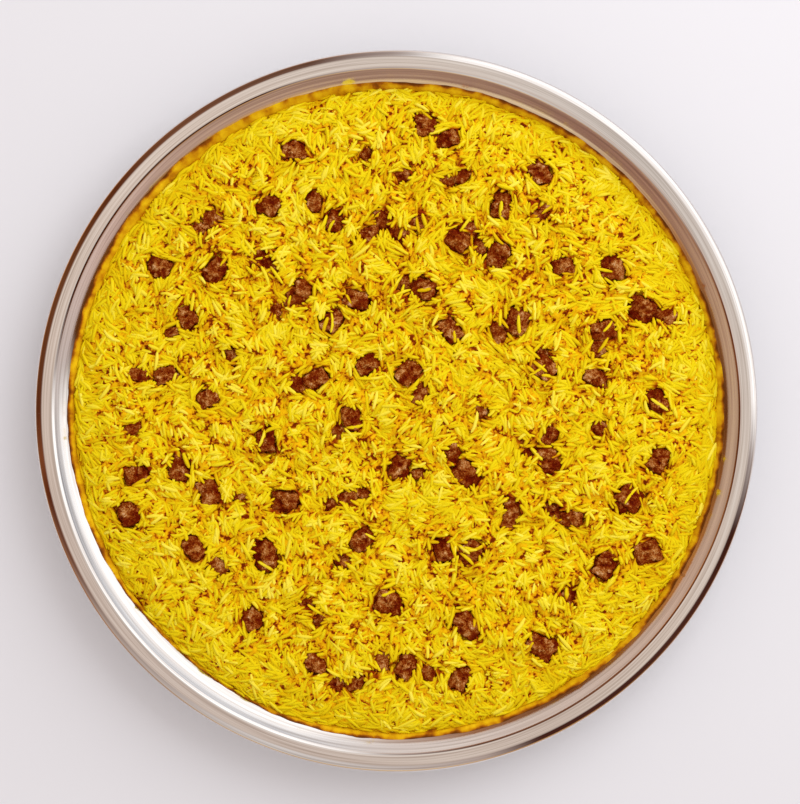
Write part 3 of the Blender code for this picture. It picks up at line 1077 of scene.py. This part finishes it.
WINDOW_BEARING = math.radians(48)
WINDOW_RISE = math.radians(40)
WINDOW_DISTANCE = 2.7
window = bpy.data.lights.new("window", "AREA")
window.shape = "RECTANGLE"
window.size = 2.3
window.size_y = 2.4
window.energy = 45
window.color = (0.95, 0.97, 1.0)
window_light = bpy.data.objects.new("window", window)
away = Vector((
    math.cos(WINDOW_BEARING) * math.cos(WINDOW_RISE),
    math.sin(WINDOW_BEARING) * math.cos(WINDOW_RISE),
    math.sin(WINDOW_RISE),
))
window_light.location = away * WINDOW_DISTANCE
window_light.rotation_euler = away.to_track_quat("Z", "Y").to_euler()
window_light.visible_glossy = False
scene.collection.objects.link(window_light)

# The room as rings of colour by bearing in degrees, from the table up to the ceiling.
TABLE_RING = ((-180, "#c0a084"), (-160, "#ba967a"), (-140, "#a07864"), (-125, "#967060"),
              (-100, "#a4826e"), (-60, "#bc9c88"), (-28, "#d4bab0"), (0, "#ccc6c4"),
              (12, "#b9bdc4"), (70, "#c2c4ca"), (88, "#e4dcd8"), (115, "#d8c8be"),
              (150, "#caac98"), (180, "#c0a084"))
LINE_RING = ((-180, "#6a3a1a"), (-150, "#a87244"), (-120, "#e0c8a6"), (-90, "#e2c69c"),
             (-62, "#c8985e"), (-36, "#7c4818"), (-14, "#6a4020"), (-4, "#e0dcd8"),
             (80, "#e6dcd4"), (104, "#a07050"), (124, "#74421e"), (150, "#b4743a"),
             (170, "#8c5428"), (180, "#6a3a1a"))
WALL_RING = ((-180, "#5c2e18"), (-172, "#7c4428"), (-166, "#5c2a14"), (-155, "#845c48"),
             (-145, "#ac9a90"), (-110, "#d8d4d2"), (-76, "#b4a49c"), (-67, "#44221a"),
             (-40, "#4c2a20"), (-20, "#3c1c14"), (-9, "#a89c98"), (8, "#c8c0be"),
             (26, "#f0eff2"), (60, "#fcfcfd"), (80, "#fcfbfb"), (91, "#aa9c96"),
             (104, "#684a3c"), (128, "#7c5038"), (142, "#603018"), (160, "#74462a"),
             (180, "#5c2e18"))
CEILING_RING = ((-180, "#d8c8bc"), (-110, "#cec0b6"), (-40, "#d8cabe"), (48, "#dcd6d0"),
                (130, "#e0d2c6"), (180, "#d8c8bc"))
# Where the bright doorway stands above the table, as a share of white.
DOOR_RING = ((-180, "#000000"), (-8, "#000000"), (2, "#ffffff"), (72, "#ffffff"),
             (88, "#000000"), (180, "#000000"))


def ring_ramp(tree, source, stops):
    """A colour ramp whose stops are bearings in degrees."""
    return add_ramp(tree, source, [((place + 180) / 360, code) for place, code in stops])


def mixed(tree, share, first, second):
    """Two colours mixed by a share from 0 to 1."""
    return add_node(tree, "MixRGB", {0: share, 1: first, 2: second})


room = bpy.data.worlds.new("room")
scene.world = room
room.use_nodes = True
tree = room.node_tree
tree.nodes.clear()
way = add_node(tree, "TexCoord").outputs["Generated"]
split = add_node(tree, "SeparateXYZ", Vector=way)
bearing = add_node(
    tree, "Math", {0: split.outputs["Y"], 1: split.outputs["X"]}, operation="ARCTAN2"
)
share = add_node(
    tree, "MapRange", Value=bearing, From_Min=-math.pi, From_Max=math.pi, To_Min=0.0,
    To_Max=1.0,
)


def risen(tree, height, low, high):
    """0 to 1 as a direction rises from one elevation to another, both in degrees."""
    return add_node(
        tree, "MapRange", Value=height, From_Min=math.sin(math.radians(low)),
        From_Max=math.sin(math.radians(high)), To_Min=0.0, To_Max=1.0,
    )


height = split.outputs["Z"]
upper = mixed(tree, risen(tree, height, 12, 14), ring_ramp(tree, share, LINE_RING),
              ring_ramp(tree, share, WALL_RING))
lower = mixed(tree, risen(tree, height, 5.35, 5.65), ring_ramp(tree, share, TABLE_RING), upper)
door = add_node(
    tree, "Math",
    {0: risen(tree, height, 3.1, 4.2), 1: ring_ramp(tree, share, DOOR_RING)},
    operation="MULTIPLY",
)
lower = mixed(tree, door, lower, linear("#ffffff", 1.25))
whole = mixed(tree, risen(tree, height, 44, 54), lower, ring_ramp(tree, share, CEILING_RING))
rays = add_node(tree, "LightPath")
lit = add_node(tree, "Background", Color=whole, Strength=1.08)
# Matt surfaces get an even, slightly warm light from all round instead of the rings.
even = add_node(tree, "Background", Color=linear("#f9eeea"), Strength=0.98)
soft = add_node(tree, "MixShader", {0: rays.outputs["Is Diffuse Ray"], 1: lit, 2: even})
plain = add_node(tree, "Background", Color=linear("#e4e3e6"), Strength=1.0)
both = add_node(tree, "MixShader", {0: rays.outputs["Is Camera Ray"], 1: soft, 2: plain})
add_node(tree, "OutputWorld", Surface=both)
